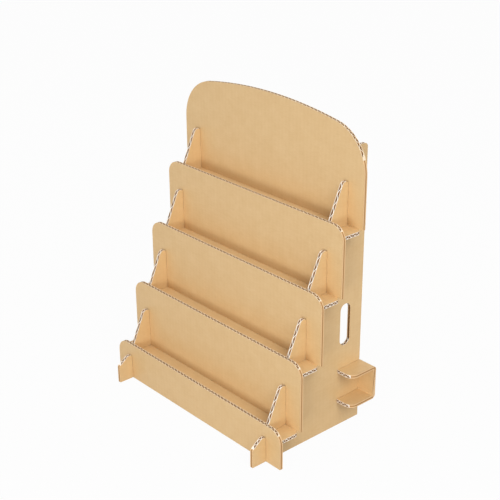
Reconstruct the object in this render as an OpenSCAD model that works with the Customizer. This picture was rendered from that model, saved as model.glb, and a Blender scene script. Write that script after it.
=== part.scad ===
// Four-tier card display stand of single-wall corrugated board, slotted together without glue.
// Two side panels stand front to back, five cross panels drop into slits in them,
// four shelves slide in from the front, and a folded brace ties the rear edges.
// Front is -Y, up is +Z, and the origin is under the middle of the stand on the floor.

/* [Board] */
// Thickness of the corrugated board
board_t = 2.5; // [1.6:0.1:3.5]
// Room, all told, between a board and the slit that it slides into
slit_clear = 0.4; // [0.2:0.05:0.8]

/* [Corrugation] */
// Distance from one flute to the next
flute_pitch = 3.5; // [2.5:0.1:7]
// Thickness of the two flat liners
liner_t = 0.35; // [0.2:0.05:0.6]
// Thickness of the wavy paper between the liners
wave_t = 0.35; // [0.2:0.05:0.6]
// Width along which the wavy paper is glued to a liner at each crest
glue_w = 0.4; // [0.2:0.05:0.8]

/* [Stand] */
// Width of the five cross panels
panel_w = 183; // [172:1:260]
// Clear width between the side panels, where the cards stand
card_gap = 150; // [90:1:158]
// Step from one cross panel to the next, front to back
tier_depth = 18.1; // [14:0.1:40]
// Step from one shelf to the next, upwards
tier_rise = 44; // [38:0.5:90]
// Height of the first shelf's top face above the floor
first_shelf_h = 21.7; // [14:0.1:40]
// Height of a cross panel's lip above the shelf behind it
lip_h = 6.7; // [3:0.1:16]
// Radius of the top corners of the four lower cross panels
panel_corner_r = 10; // [2:0.5:14]

/* [Back panel] */
// Height of the back panel above the shelf that it stands on
back_panel_h = 73.9; // [60:0.1:160]
// Height of the crown above the top of the corner arcs
crown_rise = 5.1; // [1:0.1:10]
// Radius of the back panel's top corners
back_corner_r = 32; // [10:0.5:40]

/* [Side panels] */
// Length of the feet in front of the front panel
foot_d = 12; // [7:0.5:30]
// Height of the feet at the front panel
foot_h = 19.7; // [14:0.1:26]
// Height of the feet at their front edge
foot_front_h = 14.6; // [8:0.1:18]
// Radius of the feet's front corners
foot_corner_r = 2; // [1:0.25:4]
// Height of the fins above their shelf
fin_h = 31.1; // [18:0.1:36]
// Radius of the round tops of the fins and feet
fin_r = 3.2; // [1.5:0.1:4]
// Amount of the fins' and feet's round tops that the slits behind them clip off
fin_clip = 0.8; // [0.4:0.1:1.4]
// Depth of the posts behind the back panel
post_d = 14.6; // [10:0.1:40]
// Height of the posts above the fourth shelf
post_h = 53.6; // [36:0.1:120]
// Radius of the posts' rear top corners
post_corner_r = 3; // [1:0.5:8]

/* [Hand holes] */
// Width of the hand holes, front to back
hole_w = 9.6; // [5:0.1:14]
// Height of the hand holes
hole_h = 32; // [20:0.5:50]
// Distance of the hand holes' middle from the rear edge
hole_inset = 16; // [12:0.5:22]
// Height of the hand holes' middle above the floor
hole_z = 79.3; // [72:0.5:120]

/* [Shelves] */
// Amount by which a shelf's end lies inside the panels' ends
shelf_inset = 1; // [0:0.25:4]
// Width of the tongue that a shelf puts under the next cross panel
tongue_w = 86; // [40:1:88]
// Radius of a shelf's outer rear corners
shelf_corner_r = 3; // [1:0.5:6]

/* [Rear brace] */
// Height of the brace over both flanges
brace_h = 26.2; // [16:0.1:40]
// Height of the brace's top face above the floor
brace_z = 45.7; // [42:0.1:56]
// Depth of the brace's flanges in front of its web
flange_d = 22.1; // [14:0.1:26]
// Radius of the flanges' front corners
flange_corner_r = 6; // [2:0.5:9]
// Radius inside the brace's two folds
fold_r = 0.6; // [0.3:0.1:1.5]

/* [Hidden] */
$fn = 96;
tiers = 4;
kraft = [0.84, 0.69, 0.50];
kraft_pale = [0.87, 0.74, 0.55];
kraft_deep = [0.77, 0.61, 0.40];

slit_w = board_t + slit_clear;
side_x = (card_gap + board_t) / 2;
stand_d = foot_d + tiers * tier_depth + board_t + post_d + board_t;
front_y = -stand_d / 2;
rear_y = stand_d / 2 - board_t;

// Front face of cross panel k, counted from 1 at the front
function panel_y(k) = front_y + foot_d + (k - 1) * tier_depth;
// Top face of shelf k
function shelf_z(k) = first_shelf_h + (k - 1) * tier_rise;
// Bottom edge of cross panel k: the floor, or the shelf in front of it
function panel_foot_z(k) = k == 1 ? 0 : shelf_z(k - 1);
// Top edge of cross panel k, up to the fourth
function lip_z(k) = shelf_z(k) + lip_h;
// Top of the fin, or foot, that stands in front of cross panel k
function fin_top_z(k) = k == 1 ? foot_h : shelf_z(k - 1) + fin_h;
// Height at which cross panel k and the side panels halve into each other
function halving_z(k) = (panel_foot_z(k) + fin_top_z(k)) / 2;
// Depth at which shelf k and the side panels halve into each other
function halving_y(k) = (panel_y(k) + board_t + panel_y(k + 1)) / 2;

// Tops of the posts and of the back panel's crown
post_z = shelf_z(tiers) + post_h;
crown_z = shelf_z(tiers) + back_panel_h;

// Depth at which the brace's flanges and the side panels halve into each other
flange_front_y = rear_y - flange_d;
flange_halving_y = (flange_front_y + rear_y) / 2;

// Clear height under a crest of the wavy paper, at a distance from the crest's middle
arch_h = board_t - 2 * liner_t - wave_t;
arch_w = flute_pitch - glue_w;
function arch(run) = arch_h * (1 + cos(360 * run / arch_w)) / 2;

// Section of the hollows in a board that fills 0 to board_t in the second axis and reaches
// half_run to either side in the first: arches on one liner, and between them arches on the other
module flute_section(half_run) {
    flutes = floor((half_run - arch_w / 2) / flute_pitch);
    steps = 3;
    run_step = arch_w / 2 / steps;
    for (i = [-2 * flutes:2 * flutes]) {
        on_near_liner = i % 2 == 0;
        translate([i * flute_pitch / 2, on_near_liner ? liner_t : board_t - liner_t])
            mirror([0, on_near_liner ? 0 : 1])
                polygon([for (j = [-steps:steps]) [-j * run_step, arch(j * run_step)]]);
    }
}

// A board standing across the stand, its front face at y, from an outline in x and z; flutes upright
module across(y, low_z, high_z) {
    difference() {
        translate([0, y + board_t, 0]) rotate([90, 0, 0]) linear_extrude(board_t) children();
        translate([0, y, low_z - flute_pitch])
            linear_extrude(high_z - low_z + 2 * flute_pitch) flute_section(panel_w / 2);
    }
}

// A board standing front to back, its middle at x, from an outline in y and z; flutes upright
module fore_and_aft(x) {
    difference() {
        translate([x - board_t / 2, 0, 0]) rotate([90, 0, 90]) linear_extrude(board_t) children();
        translate([x + board_t / 2, 0, -flute_pitch]) rotate([0, 0, 90])
            linear_extrude(post_z + 2 * flute_pitch) flute_section(stand_d / 2);
    }
}

// A board lying flat, its top face at z, from an outline in x and y; flutes across the stand
module lying(z, y) {
    difference() {
        translate([0, 0, z - board_t]) linear_extrude(board_t) children();
        translate([-panel_w / 2, y, z - board_t]) rotate([90, 0, 90])
            linear_extrude(panel_w) flute_section(tier_depth / 2);
    }
}

// Two copies, one at each side panel
module at_both_sides() {
    for (side = [-1, 1]) translate([side * side_x, 0]) children();
}

// The unit normal, on the left, of the line that touches a circle of radius ra at a
// and then one of radius rc at c
function belt_normal(a, ra, c, rc) =
    let (along = (c - a) / norm(c - a), lean = asin((ra - rc) / norm(c - a)))
    cos(lean) * [-along[1], along[0]] + sin(lean) * along;

// The round head of the fin, or foot, in front of cross panel k, clipped at the rear by the panel's slit
function fin_head(k) = [panel_y(k) - slit_clear / 2 - fin_r + fin_clip, fin_top_z(k) - fin_r];
// The middle of cross panel k's slit
function slit_y(k) = panel_y(k) + board_t / 2;
// The toe of the slope of the fin in front of cross panel k: in the slit before, half way up the lip
function fin_toe(k) = [slit_y(k - 1), shelf_z(k - 1) + lip_h / 2];
// The round front corner of the feet
foot_corner = [front_y + foot_corner_r, foot_front_h - foot_corner_r];

// The outline of the fin in front of cross panel k: from the slit, round the head's middle, to the toe
function fin_points(k, toe, toe_r) =
    let (head = fin_head(k), n = belt_normal(toe, toe_r, head, fin_r))
    [[slit_y(k), head[1] - fin_r], head, head + fin_r * n, toe + toe_r * n];

// Outline of the side panels before their slits, in y and z
module side_outline() {
    post_corner = [rear_y - post_corner_r, post_z - post_corner_r];
    polygon(concat(
        [[front_y, 0], [rear_y, 0], post_corner + [post_corner_r, 0], post_corner,
         post_corner + [0, post_corner_r], [slit_y(tiers + 1), post_z]],
        [for (k = [tiers + 1:-1:2]) each fin_points(k, fin_toe(k), 0)],
        fin_points(1, foot_corner, foot_corner_r),
        [foot_corner, foot_corner - [foot_corner_r, 0]]));
    for (k = [1:tiers + 1]) translate(fin_head(k)) circle(fin_r);
    translate(foot_corner) circle(foot_corner_r);
    translate(post_corner) circle(post_corner_r);
}

// The slits, open at the top, that the cross panels drop into
module panel_slits() {
    for (k = [1:tiers + 1])
        translate([panel_y(k) - slit_clear / 2, halving_z(k)]) square([slit_w, post_z + fin_r]);
}

// The slits, open at the front, that the shelves slide into
module shelf_slits() {
    for (k = [1:tiers])
        translate([panel_y(k), shelf_z(k) - board_t - slit_clear / 2])
            square([halving_y(k) - panel_y(k), slit_w]);
}

// The slits, open at the rear, that the brace's flanges slide into, eased at the mouth for the folds
module brace_slits() {
    for (top = [brace_z, brace_z - brace_h + board_t]) {
        middle = top - board_t / 2;
        translate([flange_halving_y, middle - slit_w / 2])
            square([rear_y - flange_halving_y + slit_clear, slit_w]);
        translate([rear_y - fold_r, middle - slit_w / 2 - fold_r])
            square([fold_r + slit_clear, slit_w + 2 * fold_r]);
    }
}

// An upright oblong hole with round ends
module hand_hole() {
    straight = hole_h - hole_w;
    translate([rear_y - hole_inset, hole_z]) {
        square([hole_w, straight], center = true);
        for (end = [-1, 1]) translate([0, end * straight / 2]) circle(hole_w / 2);
    }
}

module side_panel(side) {
    color(kraft)
    fore_and_aft(side * side_x)
    difference() {
        side_outline();
        panel_slits();
        shelf_slits();
        brace_slits();
        hand_hole();
    }
}

// The slots, open at the bottom, that let cross panel k down over the side panels
module side_slots(k) {
    at_both_sides()
        translate([-slit_w / 2, panel_foot_z(k) - slit_clear])
            square([slit_w, halving_z(k) - panel_foot_z(k) + slit_clear]);
}

// A rectangle that stands on z = foot_z and has round top corners
module round_shouldered(foot_z, top_z, r) {
    translate([-panel_w / 2, foot_z]) square([panel_w, top_z - foot_z - r]);
    translate([r - panel_w / 2, foot_z]) square([panel_w - 2 * r, top_z - foot_z]);
    for (side = [-1, 1]) translate([side * (panel_w / 2 - r), top_z - r]) circle(r);
}

module lipped_panel(k) {
    color(kraft_pale)
    across(panel_y(k), panel_foot_z(k), lip_z(k))
    difference() {
        round_shouldered(panel_foot_z(k), lip_z(k), panel_corner_r);
        side_slots(k);
    }
}

// The back panel's outline: one wide arc that runs smoothly into a corner arc at each side
module crowned() {
    corner_x = panel_w / 2 - back_corner_r;
    climb = back_corner_r + crown_rise;
    corner_z = crown_z - climb;
    arc_r = (corner_x * corner_x + climb * climb - back_corner_r * back_corner_r) / (2 * crown_rise);
    reach = climb + crown_rise;
    spoke = [corner_x, arc_r - climb] / (arc_r - back_corner_r);
    intersection() {
        translate([0, crown_z - arc_r]) circle(arc_r, $fn = 4 * $fn);
        polygon([[-corner_x, corner_z], [corner_x, corner_z],
                 [corner_x + reach * spoke[0], corner_z + reach * spoke[1]],
                 [-corner_x - reach * spoke[0], corner_z + reach * spoke[1]]]);
    }
    for (side = [-1, 1]) translate([side * corner_x, corner_z]) intersection() {
        circle(back_corner_r);
        translate([-back_corner_r, 0]) square(2 * back_corner_r);
    }
    translate([-panel_w / 2, panel_foot_z(tiers + 1)])
        square([panel_w, corner_z - panel_foot_z(tiers + 1)]);
}

module back_panel() {
    color(kraft_pale)
    across(panel_y(tiers + 1), panel_foot_z(tiers + 1), crown_z)
    difference() {
        crowned();
        side_slots(tiers + 1);
    }
}

// Shelf k: it fills the step between two cross panels, puts a tongue under the rear one,
// and is slotted from the rear for the side panels
module shelf(k) {
    near_y = panel_y(k) + board_t;
    far_y = panel_y(k + 1) - slit_clear / 2;
    half_w = panel_w / 2 - shelf_inset;
    color(kraft_deep)
    lying(shelf_z(k), halving_y(k))
    difference() {
        union() {
            translate([-half_w, near_y]) square([2 * half_w, far_y - near_y - shelf_corner_r]);
            translate([shelf_corner_r - half_w, near_y])
                square([2 * (half_w - shelf_corner_r), far_y - near_y]);
            for (side = [-1, 1])
                translate([side * (half_w - shelf_corner_r), far_y - shelf_corner_r]) circle(shelf_corner_r);
            translate([-tongue_w / 2, near_y])
                square([tongue_w, panel_y(k + 1) + board_t - near_y]);
        }
        at_both_sides()
            translate([-slit_w / 2, halving_y(k)]) square([slit_w, far_y - halving_y(k) + slit_clear]);
    }
}

// Section of the folded brace in y and z, open to the front, with two round folds
module brace_section() {
    outer_r = fold_r + board_t;
    back_y = rear_y + board_t;
    low_z = brace_z - brace_h;
    module fold_back(inset, r) {
        translate([flange_front_y, low_z + inset])
            square([back_y - inset - r - flange_front_y, brace_h - 2 * inset]);
        translate([flange_front_y, low_z + inset + r])
            square([back_y - inset - flange_front_y, brace_h - 2 * (inset + r)]);
        for (z = [low_z + inset + r, brace_z - inset - r])
            translate([back_y - inset - r, z]) circle(r);
    }
    difference() {
        fold_back(0, outer_r);
        fold_back(board_t, fold_r);
    }
}

// Plan of the brace's blank: round front corners, and slots from the front for the side panels
module brace_plan() {
    deep = rear_y + board_t - flange_front_y;
    r = flange_corner_r;
    difference() {
        union() {
            translate([-panel_w / 2, flange_front_y + r]) square([panel_w, deep - r]);
            translate([r - panel_w / 2, flange_front_y]) square([panel_w - 2 * r, deep]);
            for (side = [-1, 1]) translate([side * (panel_w / 2 - r), flange_front_y + r]) circle(r);
        }
        at_both_sides()
            translate([-slit_w / 2, flange_front_y - slit_clear])
                square([slit_w, flange_halving_y - flange_front_y + slit_clear]);
    }
}

// The hollows in the brace's flanges, from their front edges to the creases, where they are crushed shut
module flange_flutes() {
    for (low = [brace_z - brace_h, brace_z - board_t])
        translate([0, rear_y - board_t, low]) rotate([90, 0, 0])
            linear_extrude(flange_d) flute_section(panel_w / 2);
}

module rear_brace() {
    color(kraft)
    difference() {
        intersection() {
            translate([-panel_w / 2, 0, 0])
                rotate([90, 0, 90]) linear_extrude(panel_w) brace_section();
            translate([0, 0, brace_z - brace_h - slit_clear])
                linear_extrude(brace_h + 2 * slit_clear) brace_plan();
        }
        flange_flutes();
    }
}

side_panel(-1);  // left_side_panel
side_panel(1);  // right_side_panel
lipped_panel(1);  // front_panel
lipped_panel(2);  // second_panel
lipped_panel(3);  // third_panel
lipped_panel(4);  // fourth_panel
back_panel();
shelf(1);  // first_shelf
shelf(2);  // second_shelf
shelf(3);  // third_shelf
shelf(4);  // fourth_shelf
rear_brace();
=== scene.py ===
# %% [markdown]
# # A cardboard display stand
# The stand is made of flat boards of single-wall corrugated cardboard that slot into each other, and one
# board folded into a brace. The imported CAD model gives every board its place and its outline. This lesson
# makes each board again with the fine build-up that the eye looks for in cardboard: two smooth papers
# with a wavy paper between them, open wherever the die has cut across the waves.

import bmesh
import bpy
import numpy as np
from mathutils import Matrix, Vector


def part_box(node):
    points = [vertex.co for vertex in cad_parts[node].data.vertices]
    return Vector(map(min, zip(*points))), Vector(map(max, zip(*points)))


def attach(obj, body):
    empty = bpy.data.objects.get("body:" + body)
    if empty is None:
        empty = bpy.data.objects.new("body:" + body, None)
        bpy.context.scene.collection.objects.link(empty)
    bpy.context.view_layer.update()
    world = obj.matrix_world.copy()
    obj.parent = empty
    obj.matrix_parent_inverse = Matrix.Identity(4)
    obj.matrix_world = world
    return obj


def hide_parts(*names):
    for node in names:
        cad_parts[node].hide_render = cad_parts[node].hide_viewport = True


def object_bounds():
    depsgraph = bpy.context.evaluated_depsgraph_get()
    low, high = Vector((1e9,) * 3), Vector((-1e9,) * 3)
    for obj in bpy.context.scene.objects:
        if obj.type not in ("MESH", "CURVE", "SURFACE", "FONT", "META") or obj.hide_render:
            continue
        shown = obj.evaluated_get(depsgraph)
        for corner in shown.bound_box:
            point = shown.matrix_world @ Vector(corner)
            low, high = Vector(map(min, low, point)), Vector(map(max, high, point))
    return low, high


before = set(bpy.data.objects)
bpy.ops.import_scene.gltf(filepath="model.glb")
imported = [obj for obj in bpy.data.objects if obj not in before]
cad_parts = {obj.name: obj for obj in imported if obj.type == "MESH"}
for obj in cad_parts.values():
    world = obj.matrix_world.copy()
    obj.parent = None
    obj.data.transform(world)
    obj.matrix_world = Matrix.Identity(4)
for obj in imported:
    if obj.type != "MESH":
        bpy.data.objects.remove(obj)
cad_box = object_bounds()
print("CAD nodes:", ", ".join(sorted(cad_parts)))

# %% [markdown]
# ## The board
# Single-wall board is two flat papers, the liners, glued to the crests of a wavy paper between them. It
# could be drawn as three thin sheets, but thin sheets leave slits of nothing between them where they
# touch. Here the board is a solid plate from which the hollows under the crests are taken away, which
# leaves exactly the three papers and keeps every piece closed. The board's thickness comes from the frame.

# %% Measures of the board
MM = 0.001
side_low, side_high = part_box("right_side_panel")
BOARD_T = side_high.x - side_low.x
FLUTE_PITCH = 3.5 * MM
# Thickness of a liner and of the wavy paper, and the width of a glued crest.
LINER_T = 0.35 * MM
WAVE_T = 0.35 * MM
GLUE_W = 0.4 * MM
# What they leave open under a crest, and the straight steps that draw its arch.
ARCH_H = BOARD_T - 2 * LINER_T - WAVE_T
ARCH_W = FLUTE_PITCH - GLUE_W
ARCH_STEPS = 14
print(f"board {BOARD_T / MM:.2f} mm thick, hollows {ARCH_W / MM:.2f} x {ARCH_H / MM:.2f} mm")

# %% [markdown]
# ## The outline that the die cuts
# Every board was cut from a flat sheet by one steel-rule die. Drawing each outline again would repeat the
# CAD and could drift from it, so the outline is read from the frame: the triangles of a node that lie on
# its lowest face are the cut shape, with its slits, round corners and hand holes. The node's own mesh is
# left alone, because the arrays here are a copy.

# %% Read a node's flat face
X, Y, Z = 0, 1, 2
# In metres: corners closer than MERGE are one corner, and corners closer to a plane than FLAT lie on it.
MERGE = 0.5e-6
FLAT = 1e-5


def node_triangles(name):
    """Corners and triangles of a CAD node, with corners closer than MERGE made one."""
    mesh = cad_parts[name].data
    mesh.calc_loop_triangles()
    places = np.empty(3 * len(mesh.vertices), np.float32)
    mesh.vertices.foreach_get("co", places)
    places = places.reshape(-1, 3).astype(float)
    corners = np.empty(3 * len(mesh.loop_triangles), np.int32)
    mesh.loop_triangles.foreach_get("vertices", corners)
    cells = np.round(places / MERGE).astype(np.int64)
    _, first, merged = np.unique(cells, axis=0, return_index=True, return_inverse=True)
    return places[first], merged.reshape(-1)[corners].reshape(-1, 3)


def die_face(name, through):
    """The triangles whose three corners all lie on the node's lowest plane across the axis through."""
    places, corners = node_triangles(name)
    lowest = places[:, through].min()
    on_face = (np.abs(places[corners][:, :, through] - lowest) < FLAT).all(axis=1)
    used, renumbered = np.unique(corners[on_face], return_inverse=True)
    return places[used], renumbered.reshape(-1, 3)


face_places, face_corners = die_face("front_panel", Y)
print("front panel's face:", len(face_places), "corners,", len(face_corners), "triangles")

# %% [markdown]
# ## From outline to plate
# A plate is an outline carried along a straight path as long as the board is thick. The face is copied to
# both ends of the path. A wall is needed only where the outline runs, and those are the edges that just
# one triangle of the face uses.

# %% Carry a face through the thickness


def carried(places, corners, along, length):
    """A closed plate: point + s * length * axis for s of 0 and 1, and a wall on each edge used once."""
    count = len(places)
    far = places.copy()
    far[:, along] += length
    edges = corners[:, [0, 1, 1, 2, 2, 0]].reshape(-1, 2)
    _, which, uses = np.unique(np.sort(edges, axis=1), axis=0, return_inverse=True, return_counts=True)
    rim = edges[uses[which.reshape(-1)] == 1]
    walls = np.column_stack([rim[:, 1], rim[:, 0], rim[:, 0] + count, rim[:, 1] + count])
    faces = corners.tolist() + (corners[:, ::-1] + count).tolist() + walls.tolist()
    return np.concatenate([places, far]), faces


plate_places, plate_faces = carried(face_places, face_corners, Y, BOARD_T)
print("front panel's plate:", len(plate_places), "corners,", len(plate_faces), "faces")

# %% [markdown]
# ## The hollows
# Under each crest of the wavy paper lies a hollow, and over each trough another one, turned half round.
# The paper's wave is close to a cosine, so one arch is a raised cosine. The arch is a profile, and it is
# carried along the flutes from one side of the board to the other. All the hollows of a board are one
# array with an index for the hollow, the end and the point of the arch.

# %% Hollows of a board


def flute_count(half_run):
    """How many whole flutes a board holds on each side of its middle one."""
    return int((half_run - ARCH_W / 2) // FLUTE_PITCH)


def flute_hollows(axes, middle, half_run, low, start, stop, first_up):
    """Arches of height ARCH_H * (1 + cos(2 pi run / ARCH_W)) / 2, half a pitch apart, each carried
    from start to stop. Every second one stands on the other liner, turned half round. With first_up
    the middle one stands on the lower liner. The axes are those across the flutes, through the board
    and along the flutes."""
    reach = flute_count(half_run)
    index = np.arange(-2 * reach, 2 * reach + 1)
    up = np.where((index % 2 == 0) == first_up, 1.0, -1.0)[:, None, None]
    run = np.linspace(ARCH_W / 2, -ARCH_W / 2, ARCH_STEPS + 1)
    height = ARCH_H * (1 + np.cos(2 * np.pi * run / ARCH_W)) / 2
    foot = low + BOARD_T / 2 - up * (BOARD_T / 2 - LINER_T)
    places = np.empty((len(index), 2, len(run), 3))
    places[..., axes[0]] = middle + index[:, None, None] * FLUTE_PITCH / 2 + up * run
    places[..., axes[1]] = foot + up * height
    places[..., axes[2]] = np.array([start, stop])[None, :, None]
    ids = np.arange(places[..., 0].size).reshape(places.shape[:3])
    turn = np.roll(ids, -1, axis=2)
    walls = np.stack([ids[:, 0], turn[:, 0], turn[:, 1], ids[:, 1]], axis=-1).reshape(-1, 4)
    faces = walls.tolist() + ids[:, 0, ::-1].tolist() + ids[:, 1].tolist()
    return places.reshape(-1, 3), faces


print("flutes on each side of a panel's middle one:", flute_count(cad_box[1][X]))

# %% [markdown]
# ## Meshes and cuts
# The arrays go into a mesh, and one Boolean takes the hollows out of the plate. Blender's manifold solver
# is exact and fast on closed shapes, but it needs all faces to point outwards, and the helper sees to
# that. The cut is applied at once, which leaves an ordinary mesh with no modifier on it.

# %% Make a mesh and cut it


def solid_mesh(name, places, faces):
    """A mesh from arrays of corners and faces, with every closed shell's faces turned outwards."""
    mesh = bpy.data.meshes.new(name)
    mesh.from_pydata(places.tolist(), [], faces)
    shell = bmesh.new()
    shell.from_mesh(mesh)
    bmesh.ops.recalc_face_normals(shell, faces=shell.faces)
    shell.to_mesh(mesh)
    shell.free()
    return mesh


def worked(mesh, tool_mesh, operation):
    """The first mesh less the tool's volume (DIFFERENCE), or only what the two share (INTERSECT)."""
    plate = bpy.data.objects.new("plate", mesh)
    tool = bpy.data.objects.new("tool", tool_mesh)
    for made in (plate, tool):
        bpy.context.scene.collection.objects.link(made)
    cut = plate.modifiers.new("cut", "BOOLEAN")
    cut.solver = "MANIFOLD"
    cut.operation = operation
    cut.object = tool
    depsgraph = bpy.context.evaluated_depsgraph_get()
    result = bpy.data.meshes.new_from_object(plate.evaluated_get(depsgraph))
    for made in (plate, tool):
        bpy.data.objects.remove(made)
    for spent in (mesh, tool_mesh):
        bpy.data.meshes.remove(spent)
    return result


print("cuts are made by Blender", bpy.app.version_string)

# %% [markdown]
# ## Colours and nodes
# Colours are written as the eye reads them on a screen, in sRGB, and Blender mixes light in linear
# numbers, so one function turns the first into the second. A second small function adds any node: it sets
# the node's own settings, fills its inputs, and links an input where it is given another node's output.

# %% Colour and node helpers


def linear(code):
    """sRGB hex to linear RGBA: c / 12.92 up to 0.04045, and ((c + 0.055) / 1.055) ** 2.4 above."""
    srgb = np.array([int(code[i : i + 2], 16) for i in (1, 3, 5)]) / 255
    low = srgb / 12.92
    high = ((srgb + 0.055) / 1.055) ** 2.4
    return (*np.where(srgb <= 0.04045, low, high).tolist(), 1.0)


def add(tree, kind, inputs=None, **settings):
    """Adds a node, sets its settings and its inputs, and returns its outputs."""
    made = tree.nodes.new(kind)
    for name, value in settings.items():
        setattr(made, name, value)
    for socket, value in (inputs or {}).items():
        if isinstance(value, bpy.types.NodeSocket):
            tree.links.new(value, made.inputs[socket])
        else:
            made.inputs[socket].default_value = value
    return made.outputs


def new_tree(name):
    """A new material's empty node tree and the material itself."""
    material = bpy.data.materials.new(name)
    material.use_nodes = True
    material.node_tree.nodes.clear()
    return material.node_tree, material


print("mid kraft in linear light:", [round(c, 3) for c in linear("#D8B280")[:3]])

# %% [markdown]
# ## Kraft liner
# The liner is unbleached kraft paper: long brown wood fibres, pressed smooth and dried but not coated, so
# it has a faint sheen and is slightly cloudy and streaked. Where it is glued to the wave it is pulled in
# by about a hundredth of a millimetre, and low light shows that as faint lines one flute pitch apart. The
# lines are a small bump, and also painted shade and light in the colour. The patterns read the attribute
# board_place, which each board carries: metres across the flutes, along them and through the board. That
# keeps the lines in step with the real hollows on every board, whichever way it stands.

# %% Kraft liner material
FIBRE_W = 0.7 * MM
FIBRE_L = 5.0 * MM
CLOUD = 9.0 * MM
WASHBOARD_DEPTH = 0.012 * MM
LINER_DEEP, LINER_PALE = "#CAA36E", "#E2C493"
# Shares of the tone, where the glue lines' share is painted shade, and the fibres' share of the relief
# beside the glue lines.
CLOUD_SHARE, FIBRE_SHARE, LINE_SHADE_SHARE = 0.5, 0.45, 0.05
FIBRE_RELIEF = 0.4
# A band texture turns once every 2 pi / 20 of its scaled length.
BAND_TURN = 2 * np.pi / 20
# Places of the factor, the two colours and the result on a Mix node that is set to colours.
FACTOR, COLOUR_A, COLOUR_B, MIXED = 0, 6, 7, 2


def kraft_liner():
    """Kraft paper: tone = 0.5 clouds + 0.45 fibres + 0.05 painted shade of the glue lines, from a deep to a
    pale brown.
    """
    tree, material = new_tree("kraft_liner_paper")
    place = add(tree, "ShaderNodeAttribute", attribute_name="board_place")["Vector"]
    laid = (1 / FIBRE_L, 1 / FIBRE_W, 1 / FIBRE_W)
    strewn = add(tree, "ShaderNodeMapping", {"Vector": place, "Scale": laid})["Vector"]
    grain = {"Vector": strewn, "Scale": 1.0, "Detail": 4.0, "Roughness": 0.6}
    fibres = add(tree, "ShaderNodeTexNoise", grain)["Fac"]
    cloudy = {"Vector": place, "Scale": 1 / CLOUD, "Detail": 5.0, "Roughness": 0.62}
    clouds = add(tree, "ShaderNodeTexNoise", cloudy)["Fac"]
    glued = {"Vector": place, "Scale": BAND_TURN / FLUTE_PITCH, "Distortion": 0.0}
    lines = add(tree, "ShaderNodeTexWave", glued, wave_type="BANDS", bands_direction="X")["Fac"]
    # The glue lines' share of the tone is painted shade and light of the washboard relief.
    tone = add(tree, "ShaderNodeMath", {0: lines, 1: LINE_SHADE_SHARE}, operation="MULTIPLY")[0]
    tone = add(tree, "ShaderNodeMath", {0: fibres, 1: FIBRE_SHARE, 2: tone}, operation="MULTIPLY_ADD")[0]
    tone = add(tree, "ShaderNodeMath", {0: clouds, 1: CLOUD_SHARE, 2: tone}, operation="MULTIPLY_ADD")[0]
    shades = {FACTOR: tone, COLOUR_A: linear(LINER_DEEP), COLOUR_B: linear(LINER_PALE)}
    colour = add(tree, "ShaderNodeMix", shades, data_type="RGBA")[MIXED]
    raised = {0: fibres, 1: FIBRE_RELIEF, 2: lines}
    height = add(tree, "ShaderNodeMath", raised, operation="MULTIPLY_ADD")[0]
    washboard = {"Height": height, "Strength": 1.0, "Distance": WASHBOARD_DEPTH}
    relief = add(tree, "ShaderNodeBump", washboard)["Normal"]
    paper = {"Base Color": colour, "Normal": relief, "Roughness": 0.5, "Specular IOR Level": 0.5}
    shader = add(tree, "ShaderNodeBsdfPrincipled", paper)["BSDF"]
    add(tree, "ShaderNodeOutputMaterial", {"Surface": shader})
    return material


liner_paper = kraft_liner()
print("made", liner_paper.name)

# %% [markdown]
# ## Cut edge
# A die shears the papers instead of slicing them, so the edge is a fuzz of torn fibre ends that scatters
# light and looks much paler than the face. It is the same paper, so its colour only moves towards a warm
# white, in specks of about half a millimetre. The edges of the cross panels are given a browner, darker
# tone.

# %% Cut edge material
FUZZ = 0.5 * MM
FUZZ_DEPTH = FUZZ / 8


def torn_edge(name, deep, pale):
    """Pale sheared fibre ends: specks of a pale and a deeper tone over a rough, matt ground."""
    tree, material = new_tree(name)
    place = add(tree, "ShaderNodeAttribute", attribute_name="board_place")["Vector"]
    fuzzy = {"Vector": place, "Scale": 1 / FUZZ, "Detail": 3.0, "Roughness": 0.7}
    fuzz = add(tree, "ShaderNodeTexNoise", fuzzy)["Fac"]
    shades = {FACTOR: fuzz, COLOUR_A: linear(deep), COLOUR_B: linear(pale)}
    colour = add(tree, "ShaderNodeMix", shades, data_type="RGBA")[MIXED]
    standing = {"Height": fuzz, "Strength": 1.0, "Distance": FUZZ_DEPTH}
    relief = add(tree, "ShaderNodeBump", standing)["Normal"]
    edge = {"Base Color": colour, "Normal": relief, "Roughness": 0.95, "Specular IOR Level": 0.1}
    shader = add(tree, "ShaderNodeBsdfPrincipled", edge)["BSDF"]
    add(tree, "ShaderNodeOutputMaterial", {"Surface": shader})
    return material


edge_paper = torn_edge("sheared_kraft_edge", deep="#EAD6BC", pale="#FFFCF6")
# The cross panels' cut edges get browner and darker tones than the other cut edges.
browner_edge_paper = torn_edge("browner_kraft_edge", deep="#E2C8A4", pale="#F8EAD4")
print("made", edge_paper.name, "and", browner_edge_paper.name)

# %% [markdown]
# ## Edge along the flutes
# Where the die runs along the flutes, or past the last of them, it presses the two liners together. The
# edge then shows the liners' own brown on both sides, with no wave, and between them a gap whose shade
# is painted into the colour. The attribute board_depth, 0 on one face of the board and 1 on the other,
# tells the gap from the liners.

# %% Edge along the flutes
MID_DEPTH = 0.5
# The painted shade of the gap takes this share of the depth. Its inner half is dark, and its outer half
# fades to the liners.
GAP_SHARE = 0.5
# The first colour is painted shade for the gap between the pressed liners, the second the liners' brown.
GAP_PAINTED_SHADE, LINER_END_BROWN = "#A87B4B", "#DDB98D"


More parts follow.
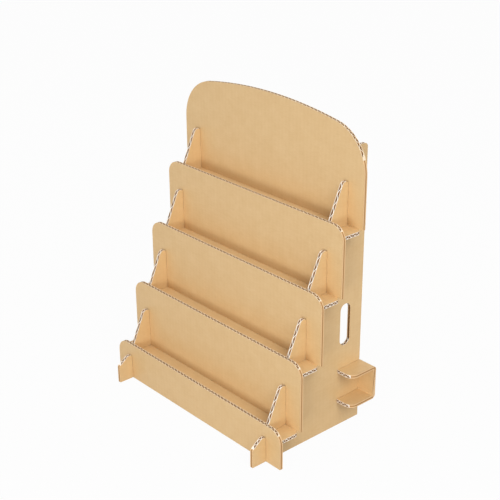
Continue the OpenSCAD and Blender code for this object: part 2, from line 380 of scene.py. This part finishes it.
def pressed_edge():
    """Brown liner ends with painted shade for the gap between them: the tone rises with the distance from
    mid depth by a smooth step, from the gap's painted shade at a quarter of GAP_SHARE to the liner's brown
    at half of it."""
    tree, material = new_tree("pressed_kraft_edge")
    depth = add(tree, "ShaderNodeAttribute", attribute_name="board_depth")["Fac"]
    off = add(tree, "ShaderNodeMath", {0: depth, 1: MID_DEPTH}, operation="SUBTRACT")[0]
    away = add(tree, "ShaderNodeMath", {0: off}, operation="ABSOLUTE")[0]
    limits = {"Value": away, "From Min": GAP_SHARE / 4, "From Max": GAP_SHARE / 2}
    solid = add(tree, "ShaderNodeMapRange", limits, interpolation_type="SMOOTHSTEP")["Result"]
    shades = {FACTOR: solid, COLOUR_A: linear(GAP_PAINTED_SHADE), COLOUR_B: linear(LINER_END_BROWN)}
    colour = add(tree, "ShaderNodeMix", shades, data_type="RGBA")[MIXED]
    edge = {"Base Color": colour, "Roughness": 0.9, "Specular IOR Level": 0.15}
    shader = add(tree, "ShaderNodeBsdfPrincipled", edge)["BSDF"]
    add(tree, "ShaderNodeOutputMaterial", {"Surface": shader})
    return material


side_paper = pressed_edge()
print("made", side_paper.name)

# %% [markdown]
# ## Fluting paper
# The wave and the inner sides of the liners are a thinner recycled paper, darker than the liner. Its
# colour is darkened further as painted shade, since it is seen only inside the hollows, where little
# light arrives.

# %% Fluting paper material
SPECK = 0.8 * MM
# These tones are the paper's own darker brown and painted shade of the hollows together.
WAVE_DEEP, WAVE_PALE = "#7C5630", "#A87C4B"


def fluting_paper_and_shade():
    """Recycled brown paper with painted shade: dark and light specks of short fibre on a matt ground,
    darker than the paper alone.
    """
    tree, material = new_tree("fluting_paper_and_shade")
    place = add(tree, "ShaderNodeAttribute", attribute_name="board_place")["Vector"]
    mottled = {"Vector": place, "Scale": 1 / SPECK, "Detail": 3.0, "Roughness": 0.6}
    specks = add(tree, "ShaderNodeTexNoise", mottled)["Fac"]
    shades = {FACTOR: specks, COLOUR_A: linear(WAVE_DEEP), COLOUR_B: linear(WAVE_PALE)}
    colour = add(tree, "ShaderNodeMix", shades, data_type="RGBA")[MIXED]
    paper = {"Base Color": colour, "Roughness": 0.9, "Specular IOR Level": 0.1}
    shader = add(tree, "ShaderNodeBsdfPrincipled", paper)["BSDF"]
    add(tree, "ShaderNodeOutputMaterial", {"Surface": shader})
    return material


wave_paper = fluting_paper_and_shade()
print("made", wave_paper.name)

# %% [markdown]
# ## Sorting the faces of a board
# One board shows four finishes, so its faces are sorted. A face that looks straight out of the board on
# one of its two outer planes is liner. A face that looks sideways was cut by the die, either along the
# flutes or across them. What is left is the wall of a hollow. Picking faces by hand would have to be done
# again after each change, so the sorting is done on whole arrays of normals and middles.

# %% Sort the faces
# The finishes, as places among a piece's materials.
LINER, EDGE, WAVE, PRESSED = 0, 1, 2, 3
# A normal's part through the board: above the first a face looks out of it, below the second sideways.
FACING, SIDEWAYS = 0.99, 0.02
# A cut counts as one along the flutes up to about 18 degrees from them.
ALONG = 0.95


def face_vectors(mesh, name):
    """One vector per face of a mesh, its normal or its center, as an array."""
    vectors = np.empty(3 * len(mesh.polygons))
    mesh.polygons.foreach_get(name, vectors)
    return vectors.reshape(-1, 3)


def past_hollows(run, half_run):
    """True where a place is further from the middle flute than the outermost hollow's far side."""
    return np.abs(run) > flute_count(half_run) * FLUTE_PITCH + ARCH_W / 2


def flat_board_papers(mesh, axes, low, middle, half_run):
    """Liner on the two outer planes. On a cut, where the normal has no part through the board, a pressed
    edge if the normal points across the flutes or the cut lies past the last hollow, and a torn edge if
    not. Wave on all the rest."""
    across, through, _ = axes
    normal, center = np.abs(face_vectors(mesh, "normal")), face_vectors(mesh, "center")
    depth = center[:, through] - low
    on_plane = (np.abs(depth) < FLAT) | (np.abs(depth - BOARD_T) < FLAT)
    outer = (normal[:, through] > FACING) & on_plane
    cut = normal[:, through] < SIDEWAYS
    pressed = (normal[:, across] > ALONG) | past_hollows(center[:, across] - middle, half_run)
    return np.select([outer, cut & pressed, cut], [LINER, PRESSED, EDGE], WAVE)


print(f"a cut lies along the flutes within {np.degrees(np.arccos(ALONG)):.0f} degrees")

# %% [markdown]
# ## Finishing a piece
# A sorted board gets its four materials, its two attributes and its place in the frame, where it stands
# for its CAD node. Only the walls of the hollows are shaded smooth, since paper bends there. Every board
# comes from another stretch of the paper web, so its patterns start further on.

# %% Finish a piece
# How far apart on the web the boards are cut, in metres.
SHEET_STEP = 0.4


def corner_places(mesh):
    """The corners of a mesh as an array of points."""
    places = np.empty(3 * len(mesh.vertices))
    mesh.vertices.foreach_get("co", places)
    return places.reshape(-1, 3)


def board_place(mesh, axes, number):
    """Each corner's metres across the flutes, along them and through the board, with number * SHEET_STEP
    added to the last two."""
    across, through, along = axes
    moved = corner_places(mesh)[:, [across, along, through]]
    return moved + np.array([0.0, SHEET_STEP * number, SHEET_STEP * number])


def finished(node, mesh, papers, place, depth, edge):
    """The piece that stands for a CAD node, with its four finishes, its attributes and its shading. The
    edge is the paper of its torn cuts."""
    mesh.materials.clear()
    for paper in (liner_paper, edge, wave_paper, side_paper):
        mesh.materials.append(paper)
    mesh.polygons.foreach_set("material_index", papers.astype(np.int32))
    mesh.polygons.foreach_set("use_smooth", papers == WAVE)
    attribute = mesh.attributes.new("board_place", "FLOAT_VECTOR", "POINT")
    attribute.data.foreach_set("vector", place.ravel())
    attribute = mesh.attributes.new("board_depth", "FLOAT", "POINT")
    attribute.data.foreach_set("value", depth / BOARD_T)
    mesh.update()
    piece = bpy.data.objects.new(node + "_board", mesh)
    bpy.context.scene.collection.objects.link(piece)
    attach(piece, "root")
    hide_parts(node)
    return piece


print("finishes:", ", ".join(paper.name for paper in (liner_paper, edge_paper, wave_paper, side_paper)))

# %% [markdown]
# ## The flat boards
# Eleven of the twelve pieces are flat. They differ only in the way they stand: the five panels stand
# across the stand and the two side panels stand front to back, both with upright flutes, and the four
# shelves lie flat with flutes from side to side. Their names are listed once, and the depth of a tier is
# read from the places of the panels, so it isn't written down again.

# %% Names and tiers
PANELS = ["front_panel", "second_panel", "third_panel", "fourth_panel", "back_panel"]
SIDES = ["left_side_panel", "right_side_panel"]
SHELVES = ["first_shelf", "second_shelf", "third_shelf", "fourth_shelf"]
BOARD_NUMBER = {node: k for k, node in enumerate([*PANELS, *SIDES, *SHELVES, "rear_brace"])}
panel_front = [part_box(panel)[0].y for panel in PANELS]
TIER_DEPTH = panel_front[1] - panel_front[0]
SHELF_FRONT = {shelf: y + BOARD_T for shelf, y in zip(SHELVES, panel_front)}
SHELF_REAR = dict(zip(SHELVES, panel_front[1:]))
print(f"{len(BOARD_NUMBER)} boards, tiers {TIER_DEPTH / MM:.1f} mm deep")

# %% [markdown]
# ## Making a flat board
# A function for each kind of board would repeat itself, so one function makes all eleven from the outline,
# the hollows and the papers. A shelf's far edge is drawn a little under the next panel, which closes the
# play that the slits leave in place of the shade in that slit, so that no light shows there.

# %% Make a flat board
# How far tools reach past what they cut, the play in a slit, and how far a shelf's edge is drawn under a
# panel to close the slit in place of its shade.
PAST = 1.0 * MM
SLIT_CLEAR = 0.4 * MM
SLIT_COVER_REACH = 0.1 * MM


def run_of_flutes(node, across):
    """Where the middle flute lies and how far the flutes reach: from the stand's middle, or for a shelf
    from the middle between two panels."""
    if node in SHELVES:
        return (SHELF_FRONT[node] + SHELF_REAR[node]) / 2, TIER_DEPTH / 2
    whole_low, whole_high = cad_box
    return 0.0, (whole_high[across] - whole_low[across]) / 2


def slit_covered(node, places):
    """A shelf's outline with its far edge set SLIT_COVER_REACH under the next panel. Other outlines stay."""
    # Drawing the edge under the panel closes the slit, standing in for the shade that the slit would show.
    if node in SHELVES:
        far_edge = np.abs(places[:, Y] - (SHELF_REAR[node] - SLIT_CLEAR / 2)) < FLAT
        places[far_edge, Y] = SHELF_REAR[node] + SLIT_COVER_REACH
    return places


def flat_board(node, axes, first_up, edge):
    """Outline carried through the thickness, less the hollows carried along the flutes."""
    across, through, along = axes
    low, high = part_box(node)
    places, corners = die_face(node, through)
    plate = solid_mesh(node, *carried(slit_covered(node, places), corners, through, BOARD_T))
    middle, half_run = run_of_flutes(node, across)
    start, stop = low[along] - PAST, high[along] + PAST
    hollows = flute_hollows(axes, middle, half_run, low[through], start, stop, first_up)
    mesh = worked(plate, solid_mesh("hollows", *hollows), "DIFFERENCE")
    papers = flat_board_papers(mesh, axes, low[through], middle, half_run)
    place = board_place(mesh, axes, BOARD_NUMBER[node])
    depth = corner_places(mesh)[:, through] - low[through]
    piece = finished(node, mesh, papers, place, depth, edge)
    print(node, len(mesh.polygons), "faces,", (papers == WAVE).sum(), "of them in hollows")
    return piece


shelf_flutes = run_of_flutes("first_shelf", Y)
print("first shelf's middle flute and reach, mm:", [round(v / MM, 2) for v in shelf_flutes])

# %% Panels, side panels and shelves
panel_pieces = [flat_board(node, (X, Y, Z), first_up=True, edge=browner_edge_paper) for node in PANELS]
side_pieces = [flat_board(node, (Y, X, Z), first_up=False, edge=edge_paper) for node in SIDES]
shelf_pieces = [flat_board(node, (Y, Z, X), first_up=True, edge=edge_paper) for node in SHELVES]
print("flat boards:", len(panel_pieces) + len(side_pieces) + len(shelf_pieces))

# %% [markdown]
# ## The lines of the brace
# The brace behind the side panels is one board creased twice into a channel. Bending a flat mesh would
# stretch it at the creases, so the brace is made from two closed lines instead. Its section is a
# round-cornered C. Its plan, seen from above, has two round front corners and two slots.

# %% Section and plan of the brace
FOLD_R = 0.6 * MM
FLANGE_CORNER_R = 6.0 * MM
OUTER_STEPS, INNER_STEPS, CORNER_STEPS = 12, 8, 12
brace_low, brace_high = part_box("rear_brace")
web_y = brace_high.y - BOARD_T
side_x = (side_low.x + side_high.x) / 2


def arc(middle, radius, start, stop, steps):
    """Points middle + radius * (cos a, sin a), for angles a in degrees from start to stop."""
    angle = np.radians(np.linspace(start, stop, steps + 1))[:, None]
    return np.array(middle) + radius * np.hstack([np.cos(angle), np.sin(angle)])


def brace_section():
    """A C open to the front, in depth and height: the outer line to the back and round, and the inner
    line home again, a board's thickness inside it."""
    back, low, high = brace_high.y, brace_low.z, brace_high.z
    outer_r = FOLD_R + BOARD_T
    bend_y, low_z, high_z = back - outer_r, low + outer_r, high - outer_r
    return np.concatenate(
        [
            [[brace_low.y, low]],
            arc((bend_y, low_z), outer_r, -90, 0, OUTER_STEPS),
            arc((bend_y, high_z), outer_r, 0, 90, OUTER_STEPS),
            [[brace_low.y, high], [brace_low.y, high - BOARD_T]],
            arc((bend_y, high_z), FOLD_R, 90, 0, INNER_STEPS),
            arc((bend_y, low_z), FOLD_R, 0, -90, INNER_STEPS),
            [[brace_low.y, low + BOARD_T]],
        ]
    )


def brace_plan():
    """The blank seen from above: round front corners, and a slot at each side panel up to half depth."""
    front, back, half = brace_low.y, brace_high.y + PAST, brace_high.x
    r, slot_end = FLANGE_CORNER_R, (brace_low.y + web_y) / 2
    slot = np.array([-1, 1]) * (BOARD_T + SLIT_CLEAR) / 2
    notch = [[slot[0], front], [slot[0], slot_end], [slot[1], slot_end], [slot[1], front]]
    return np.concatenate(
        [
            arc((-half + r, front + r), r, 180, 270, CORNER_STEPS),
            np.array(notch) - [side_x, 0],
            np.array(notch) + [side_x, 0],
            arc((half - r, front + r), r, 270, 360, CORNER_STEPS),
            [[half, back], [-half, back]],
        ]
    )


print("brace section:", len(brace_section()), "points, plan:", len(brace_plan()), "points")

# %% [markdown]
# ## The folded brace
# Carrying the section along the stand's width gives the channel, and carrying the plan upwards gives its
# blank. The brace is what both have in common. The hollows of the flanges end at the creases, where the
# board is crushed shut.

# %% Carry the lines and cut the flutes


def carried_line(line, axes, start, stop):
    """A prism: the closed line at start and at stop along the third axis, with a wall on each step."""
    places = np.empty((2, len(line), 3))
    places[..., axes[0]] = line[:, 0]
    places[..., axes[1]] = line[:, 1]
    places[..., axes[2]] = np.array([start, stop])[:, None]
    ids = np.arange(2 * len(line)).reshape(2, -1)
    turn = np.roll(ids, -1, axis=1)
    walls = np.stack([ids[0], turn[0], turn[1], ids[1]], axis=-1)
    faces = walls.tolist() + [ids[0, ::-1].tolist(), ids[1].tolist()]
    return places.reshape(-1, 3), faces


FLANGE_AXES = (X, Z, Y)
channel = carried_line(brace_section(), (Y, Z, X), brace_low.x, brace_high.x)
blank = carried_line(brace_plan(), (X, Y, Z), brace_low.z - PAST, brace_high.z + PAST)
brace_mesh = worked(solid_mesh("channel", *channel), solid_mesh("blank", *blank), "INTERSECT")
front_y, crease_y = brace_low.y - PAST, web_y - BOARD_T
for flange_low in (brace_low.z, brace_high.z - BOARD_T):
    hollows = flute_hollows(FLANGE_AXES, 0.0, brace_high.x, flange_low, front_y, crease_y, first_up=True)
    brace_mesh = worked(brace_mesh, solid_mesh("hollows", *hollows), "DIFFERENCE")
print("brace:", len(brace_mesh.polygons), "faces")

# %% [markdown]
# ## Papers of the brace
# The brace shows the same finishes as a flat board, but its outer plane goes round two bends. So its faces
# are sorted by how deep they lie inside the outer line of the C.

# %% Papers of the brace


def brace_depth(places):
    """How far points lie inside the outer line of the C: from its top, its underside or its back."""
    rise = np.minimum(places[:, Z] - brace_low.z, brace_high.z - places[:, Z])
    return np.minimum(rise, brace_high.y - places[:, Y])


def brace_papers(mesh):
    """Pressed edge where a face looks along x or is cut past the last hollow, torn edge on the other cuts
    of a flange; wave where a face lies inside a flange's thickness; liner on all the rest."""
    normal, center = np.abs(face_vectors(mesh, "normal")), face_vectors(mesh, "center")
    depth = brace_depth(center)
    before_crease = center[:, Y] < crease_y + FLAT
    inside = before_crease & (depth > FLAT) & (depth < BOARD_T - FLAT)
    cut = inside & (normal[:, Z] < SIDEWAYS)
    pressed = (normal[:, X] > ALONG) | (cut & past_hollows(center[:, X], brace_high.x))
    return np.select([pressed, cut, inside], [PRESSED, EDGE, WAVE], LINER)


papers = brace_papers(brace_mesh)
place = board_place(brace_mesh, FLANGE_AXES, BOARD_NUMBER["rear_brace"])
depth = brace_depth(corner_places(brace_mesh))
brace_piece = finished("rear_brace", brace_mesh, papers, place, depth, edge_paper)
print(brace_piece.name, "faces by finish:", np.bincount(papers))

# %% [markdown]
# ## Floor
# The stand is shown on plain white. The floor is a wide round sheet with a matt pale finish, so it throws
# soft light up at the boards as a table does. Seen directly, most of its colour is given by an even white
# glow, which keeps the ground white while the stand's shadow still shows on it faintly.

# %% Floor
FLOOR_R = 8.0
FLOOR_STEPS = 96
FLOOR_GLOW = 0.96
WHITE, FLOOR_PALE = "#FFFFFF", "#C0C0C0"


def floor_sheet():
    """A disc of one face: its rim is FLOOR_R * (cos a, sin a) at height 0, for angles a once round."""
    angle = np.linspace(0, 2 * np.pi, FLOOR_STEPS, endpoint=False)
    rim = FLOOR_R * np.column_stack([np.cos(angle), np.sin(angle), np.zeros_like(angle)])
    mesh = bpy.data.meshes.new("floor")
    mesh.from_pydata(rim.tolist(), [], [list(range(len(rim)))])
    return mesh


def seen_directly(tree):
    """1 for rays from the camera, and for mirror and glass rays, and 0 for the light that bounces."""
    path = add(tree, "ShaderNodeLightPath")
    rays = {0: path["Is Camera Ray"], 1: path["Is Glossy Ray"]}
    direct = add(tree, "ShaderNodeMath", rays, operation="MAXIMUM")[0]
    rays = {0: direct, 1: path["Is Transmission Ray"]}
    return add(tree, "ShaderNodeMath", rays, operation="MAXIMUM")[0]


floor_tree, floor_paint = new_tree("matt_white_floor")
matt = add(floor_tree, "ShaderNodeBsdfDiffuse", {"Color": linear(FLOOR_PALE), "Roughness": 0.5})["BSDF"]
glow = add(floor_tree, "ShaderNodeEmission", {"Color": linear(WHITE), "Strength": 1.0})["Emission"]
glowing = {0: seen_directly(floor_tree), 1: FLOOR_GLOW}
share = add(floor_tree, "ShaderNodeMath", glowing, operation="MULTIPLY")[0]
both = add(floor_tree, "ShaderNodeMixShader", {0: share, 1: matt, 2: glow})["Shader"]
add(floor_tree, "ShaderNodeOutputMaterial", {"Surface": both})
floor = bpy.data.objects.new("floor", floor_sheet())
floor.data.materials.append(floor_paint)
bpy.context.scene.collection.objects.link(floor)
print("floor", 2 * FLOOR_R, "m across")

# %% [markdown]
# ## Surroundings
# White surroundings light the stand softly from all sides, as in a photographer's tent. Seen directly they
# are plain white, and as light they are dimmer, so that the lamps can give the stand its form.

# %% Surroundings
SURROUND = 0.65
world = bpy.data.worlds.new("white_surroundings")
bpy.context.scene.world = world
world.use_nodes = True
sky = world.node_tree
sky.nodes.clear()
dim = add(sky, "ShaderNodeBackground", {"Color": linear(WHITE), "Strength": SURROUND})["Background"]
white = add(sky, "ShaderNodeBackground", {"Color": linear(WHITE), "Strength": 1.0})["Background"]
shown = add(sky, "ShaderNodeMixShader", {0: seen_directly(sky), 1: dim, 2: white})["Shader"]
add(sky, "ShaderNodeOutputWorld", {"Surface": shown})
print("surroundings light the stand at", SURROUND)

# %% [markdown]
# ## Lamps
# Three lamps give the stand its form: one low at the front that shines along the shelves, so that each lip
# keeps the bottom of the next panel in soft shade, a wide panel high on the right that brightens the fins
# and the side, and another overhead for the shelves. Area lamps are used, because their shadows are soft.

# %% Lamps
# Each lamp's azimuth and elevation in degrees, its distance and width in metres, and its level.
LAMPS = {
    "front_lamp": (28, 3, 1.1, 0.45, 0.43),
    "right_panel": (76, 40, 1.4, 0.8, 0.42),
    "overhead_panel": (-30, 80, 1.4, 0.8, 0.1),
}
MIDDLE = (0.0, 0.0, 0.11)


def direction(azimuth, elevation):
    """A unit vector towards angles in radians: (sin a cos e, -cos a cos e, sin e)."""
    across = np.cos(elevation)
    return np.array([np.sin(azimuth) * across, -np.cos(azimuth) * across, np.sin(elevation)])


def lamp(name, azimuth, elevation, distance, size, level):
    """An area lamp on a sphere about the stand's middle, turned towards it. Its power is
    pi^2 * distance^2 * level, which lights a white card that faces it to that level."""
    away = Vector(distance * direction(*np.radians([azimuth, elevation])))
    light = bpy.data.lights.new(name, "AREA")
    light.shape = "DISK"
    light.size = size
    light.energy = np.pi**2 * distance**2 * level
    made = bpy.data.objects.new(name, light)
    made.location = Vector(MIDDLE) + away
    made.rotation_euler = (-away).to_track_quat("-Z", "Y").to_euler()
    bpy.context.scene.collection.objects.link(made)
    print(name, "at", [round(c, 2) for c in made.location])


for name, settings in LAMPS.items():
    lamp(name, *settings)

# %% [markdown]
# ## Camera
# The camera stands to the right of the stand and looks down a little, with a long lens, as in a product
# photograph. It is given by its direction from the point it looks at, its distance and its lens. The small
# shift places the stand in the square frame.

# %% Camera
# Angles are in degrees and lengths in metres. The lens and its centre are in pixels of the frame.
AZIMUTH, ELEVATION, ROLL = 48.446, 24.832, -0.224
DISTANCE = 0.80956
AIM = (0.002449, 0.017634, 0.099144)
FRAME_PX = 500
FOCAL_PX = 1126.19
CENTRE_PX = (255.38, 270.77)
SENSOR_MM = 36.0


def camera_matrix():
    """Columns: right, up and backward, turned by the roll about the line of sight, and the eye."""
    a, e, r = np.radians([AZIMUTH, ELEVATION, ROLL])
    back = direction(a, e)
    right = np.array([np.cos(a), np.sin(a), 0.0])
    up = np.cross(back, right)
    turned = np.eye(4)
    turned[:3, 0] = right * np.cos(r) + up * np.sin(r)
    turned[:3, 1] = up * np.cos(r) - right * np.sin(r)
    turned[:3, 2] = back
    turned[:3, 3] = np.array(AIM) + DISTANCE * back
    return Matrix(turned.tolist())


lens = bpy.data.cameras.new("camera")
lens.sensor_width = SENSOR_MM
lens.lens = FOCAL_PX / FRAME_PX * SENSOR_MM
lens.shift_x = (FRAME_PX / 2 - CENTRE_PX[0]) / FRAME_PX
lens.shift_y = (CENTRE_PX[1] - FRAME_PX / 2) / FRAME_PX
camera = bpy.data.objects.new("camera", lens)
camera.matrix_world = camera_matrix()
bpy.context.scene.collection.objects.link(camera)
bpy.context.scene.camera = camera
bpy.context.scene.view_settings.view_transform = "Standard"
print(f"lens {lens.lens:.1f} mm, eye {[round(c, 3) for c in camera.location]}")
